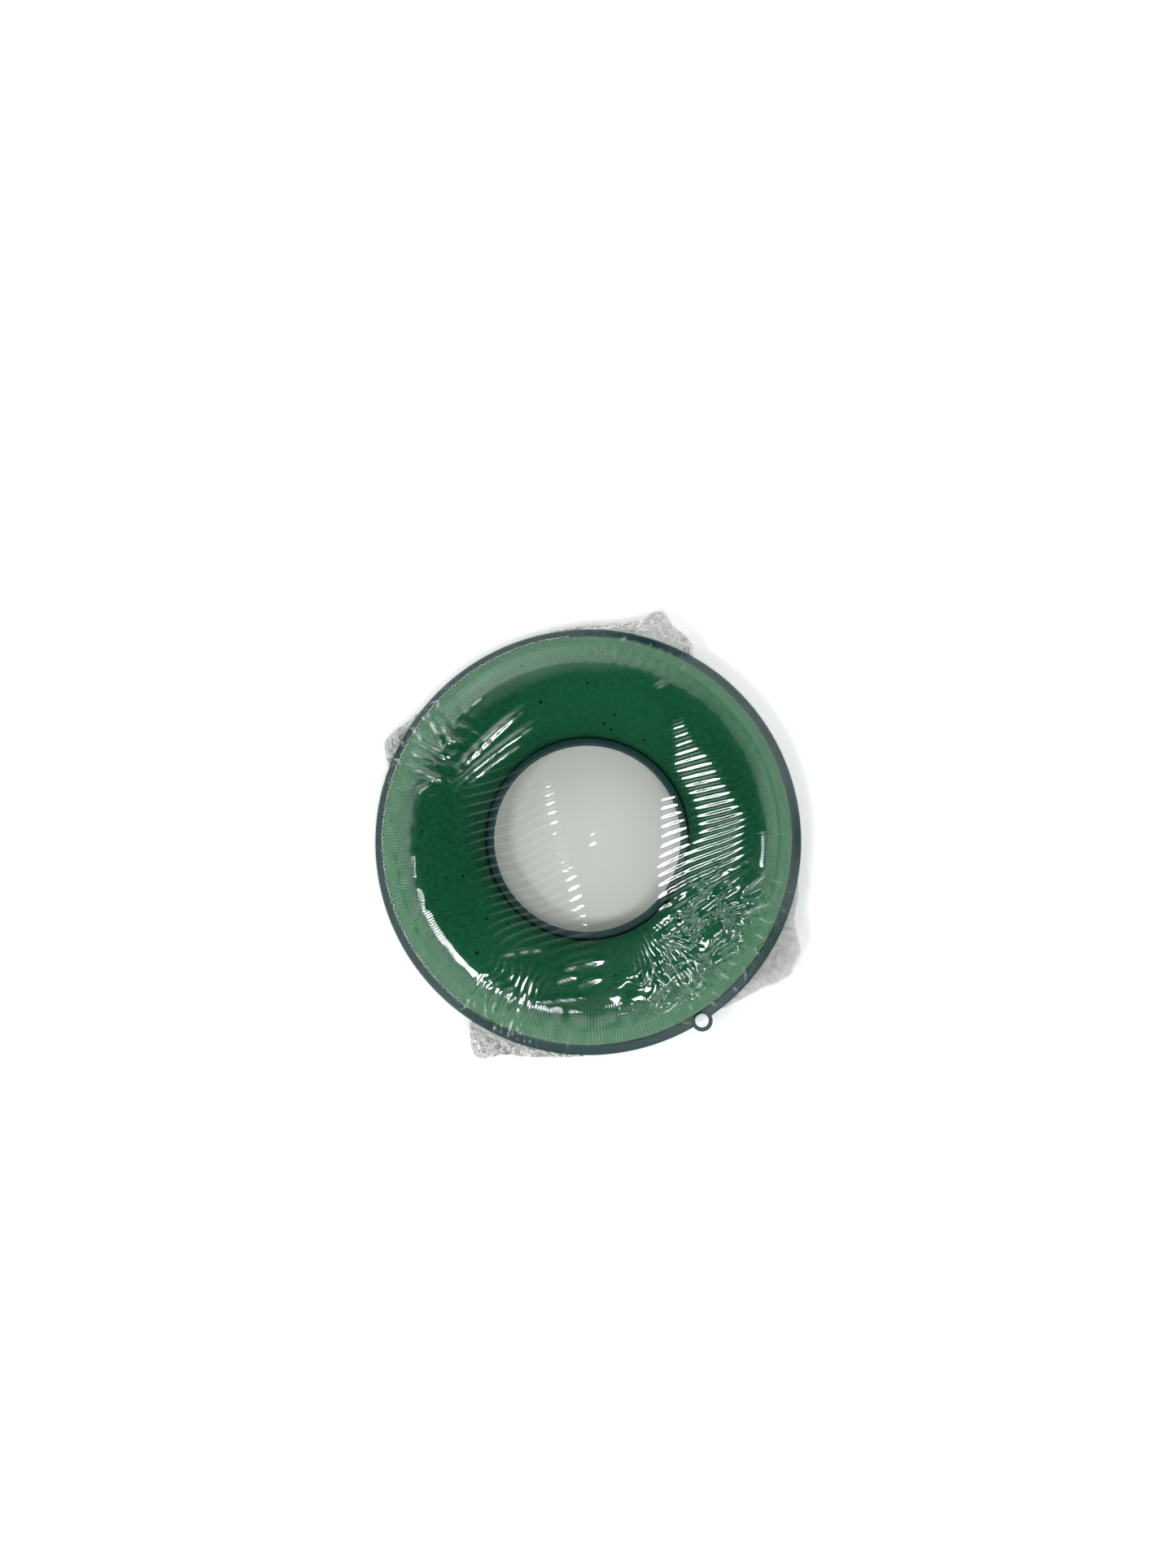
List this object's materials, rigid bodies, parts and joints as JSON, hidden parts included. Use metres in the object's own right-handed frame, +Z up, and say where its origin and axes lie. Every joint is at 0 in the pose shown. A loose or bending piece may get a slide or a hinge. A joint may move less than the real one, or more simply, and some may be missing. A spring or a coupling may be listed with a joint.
{
  "type": "floral foam ring",
  "caption": "Ring of green wet floral foam seated in a moulded plastic channel tray with a hanging eyelet, sealed in clear shrink film with gathered corner ears.",
  "frame": {"origin": "on the ring's axis, at the underside of the film that the ring stands on", "axes": "+Z up along the ring's axis, from the tray to the foam; the hanging eyelet lies at -57.9 degrees from +X, counted anticlockwise from above"},
  "size_m": [0.2508, 0.2664, 0.0449],
  "materials": {
    "tray_plastic": "satin injection-moulded polypropylene, dark teal green",
    "wet_foam": "open-celled phenolic wet floral foam, dry, dull dark green",
    "hot_melt": "milky hot-melt adhesive",
    "shrink_film": "clear glossy polyolefin shrink film, wrinkled",
    "film_weld": "pale wavy bead where the film was welded and trimmed",
    "film_ear": "bunched and crinkled film, whitish where its layers stack"
  },
  "bodies": {
    "root": {"ring_tray": "tray_plastic", "foam_ring": "wet_foam", "glue_spots": "hot_melt", "film_top_panel": "shrink_film", "film_shoulder": "shrink_film", "film_side": "shrink_film", "film_base_panel": "shrink_film", "film_weld_bead": "film_weld", "film_ear_top": "film_ear", "film_ear_left": "film_ear", "film_ear_bottom": "film_ear", "film_ear_right": "film_ear"}
  },
  "joints": []
}
